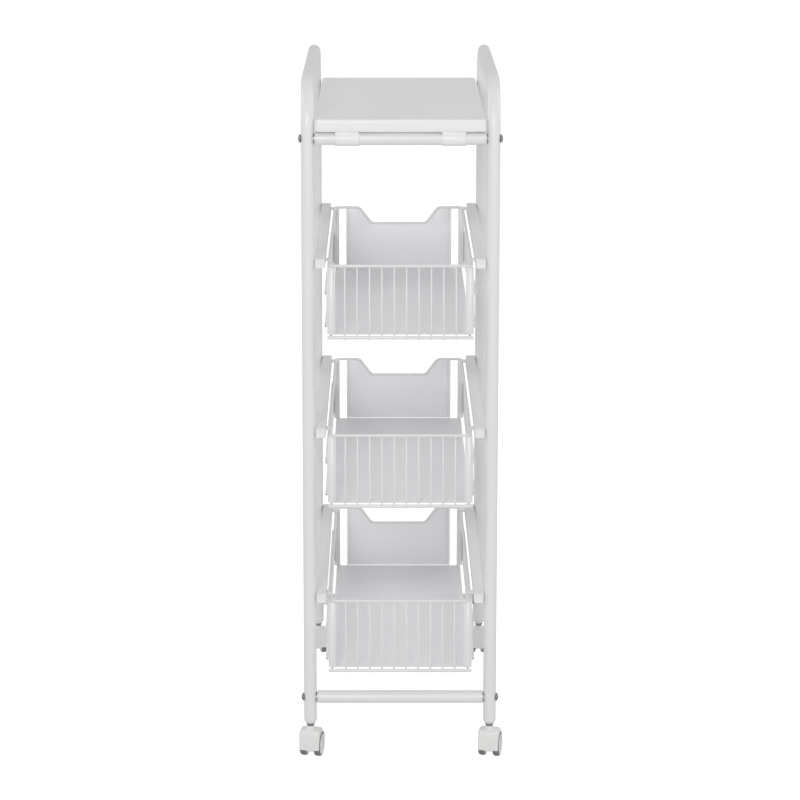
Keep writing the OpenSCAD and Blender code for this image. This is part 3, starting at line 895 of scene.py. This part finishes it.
def treads(corner, side, end):
    """Rounded treads with a shallow groove round the middle."""
    face = 8.4
    edge = [(TREAD_T, 0), (1.2, 0.1), (0.6, 0.7), (0.15, 1.6), (0, 2.7), (0, 3.6), (0.35, 3.8)]
    profile = [(WHEEL_R - depth, x) for depth, x in edge]
    profile += [(WHEEL_R - 0.35, 4.2), (WHEEL_R, 4.4), (WHEEL_R, 5.3), (WHEEL_R - 0.15, 6.4)]
    profile += [(WHEEL_R - 0.6, 7.5), (WHEEL_R - 1.2, face - 0.1), (WHEEL_R - TREAD_T, face)]
    rings = [lathe(profile, (out * WHEEL_INNER_X, TRAIL, WHEEL_R), (out, 0, 0), 64) for out in (-1, 1)]
    parts = [at_caster(side, end, ring) for ring in rings]
    return piece(f"caster_{corner}_tread_rings", parts, [f"caster_{corner}_treads"], sharp=30)


# ---------------------------------------------------------------- studio

FLOOR_RADIUS = 30.0
CAMERA_PLACE = (-0.0189, -3.7026, 1.2688)
CAMERA_PITCH = math.radians(12.156)
CAMERA_LENS = 130.0
CAMERA_SENSOR = 36
CAMERA_SHIFT = (0.0187, -0.05)
SKY_STRENGTH = 0.57
LIGHTS_AIM = (0, 0, 0.45)


def camera():
    """Long lens in front of the grid ends, looking a little down."""
    data = bpy.data.cameras.new("camera")
    data.lens, data.sensor_width = CAMERA_LENS, CAMERA_SENSOR
    data.shift_x, data.shift_y = CAMERA_SHIFT
    data.clip_start, data.clip_end = 0.1, 120
    obj = bpy.data.objects.new("camera", data)
    obj.location = CAMERA_PLACE
    obj.rotation_euler = (math.pi / 2 - CAMERA_PITCH, 0, 0)
    bpy.context.scene.collection.objects.link(obj)
    bpy.context.scene.camera = obj


def glowing_white(name, base, strength):
    """White glow of the given strength over a grey base."""
    material = bpy.data.materials.new(name)
    material.use_nodes = True
    shader = material.node_tree.nodes["Principled BSDF"]
    shader.inputs["Base Color"].default_value = (base, base, base, 1)
    shader.inputs["Roughness"].default_value = 0.9
    shader.inputs["Specular IOR Level"].default_value = 0
    shader.inputs["Emission Color"].default_value = (1, 1, 1, 1)
    shader.inputs["Emission Strength"].default_value = strength
    return material


def backdrop():
    """A pale floor and a dome of the same white. They show, but don't light the cart."""
    bpy.ops.mesh.primitive_circle_add(vertices=96, radius=FLOOR_RADIUS, fill_type="NGON")
    floor = bpy.context.object
    floor.name = "floor"
    floor.data.materials.append(glowing_white("floor_white", 0.35, 0.87))
    bpy.ops.mesh.primitive_uv_sphere_add(segments=48, ring_count=24, radius=FLOOR_RADIUS)
    dome = bpy.context.object
    dome.name = "dome"
    dome.data.materials.append(glowing_white("dome_white", 0, 1.0))
    for obj in (floor, dome):
        obj.visible_diffuse = False
        obj.visible_glossy = False
        obj.visible_transmission = False
    dome.visible_shadow = False


def area_light(name, place, size, power, shows_in_gloss=True):
    """Soft box aimed at the middle of the cart."""
    data = bpy.data.lights.new(name, "AREA")
    data.shape, data.size, data.size_y, data.energy = "RECTANGLE", size[0], size[1], power
    obj = bpy.data.objects.new(name, data)
    obj.location = place
    obj.rotation_euler = (Vector(LIGHTS_AIM) - Vector(place)).to_track_quat("-Z", "Y").to_euler()
    obj.visible_glossy = shows_in_gloss
    bpy.context.scene.collection.objects.link(obj)


def lights():
    """Even sky light with soft boxes in front of the cart, on both sides and behind it."""
    world = bpy.data.worlds.new("studio")
    world.use_nodes = True
    sky = world.node_tree.nodes["Background"].inputs
    sky["Color"].default_value = (1, 1, 1, 1)
    sky["Strength"].default_value = SKY_STRENGTH
    bpy.context.scene.world = world
    bpy.context.scene.view_settings.view_transform = "Standard"
    area_light("key", (-0.6, -3.5, 1.6), (1.2, 1.4), 34)
    area_light("fill", (1.7, -2.6, 1.1), (1.0, 1.6), 9)
    area_light("left", (-2.6, 0.9, 1.4), (1.2, 1.6), 13)
    area_light("right", (2.6, 0.9, 1.4), (1.2, 1.6), 12)
    area_light("back", (0.3, 2.8, 1.6), (1.8, 1.2), 13, shows_in_gloss=False)


# ---------------------------------------------------------------- assembly

camera()
lights()
backdrop()
paint_cad_nodes()
for side_name, side in SIDES.items():
    side_frame(side_name, side)
    for i in BASKETS:
        rail(i, side_name, side)
for name in ("top_front_crossbar", "top_rear_crossbar", "bottom_front_crossbar", "bottom_rear_crossbar"):
    crossbar(name)
saddles()
button_screws()
post_plugs()
tray()
rail_caps()
for i in BASKETS:
    basket_floor(i)
    basket_grid(i)
    basket_rim(i)
    basket_panel(i)
    corner_posts(i)
    side_bands(i)
    runners(i)
for corner, side, end in CORNERS:
    hood(corner, side, end)
    wheels(corner, side, end)
    treads(corner, side, end)
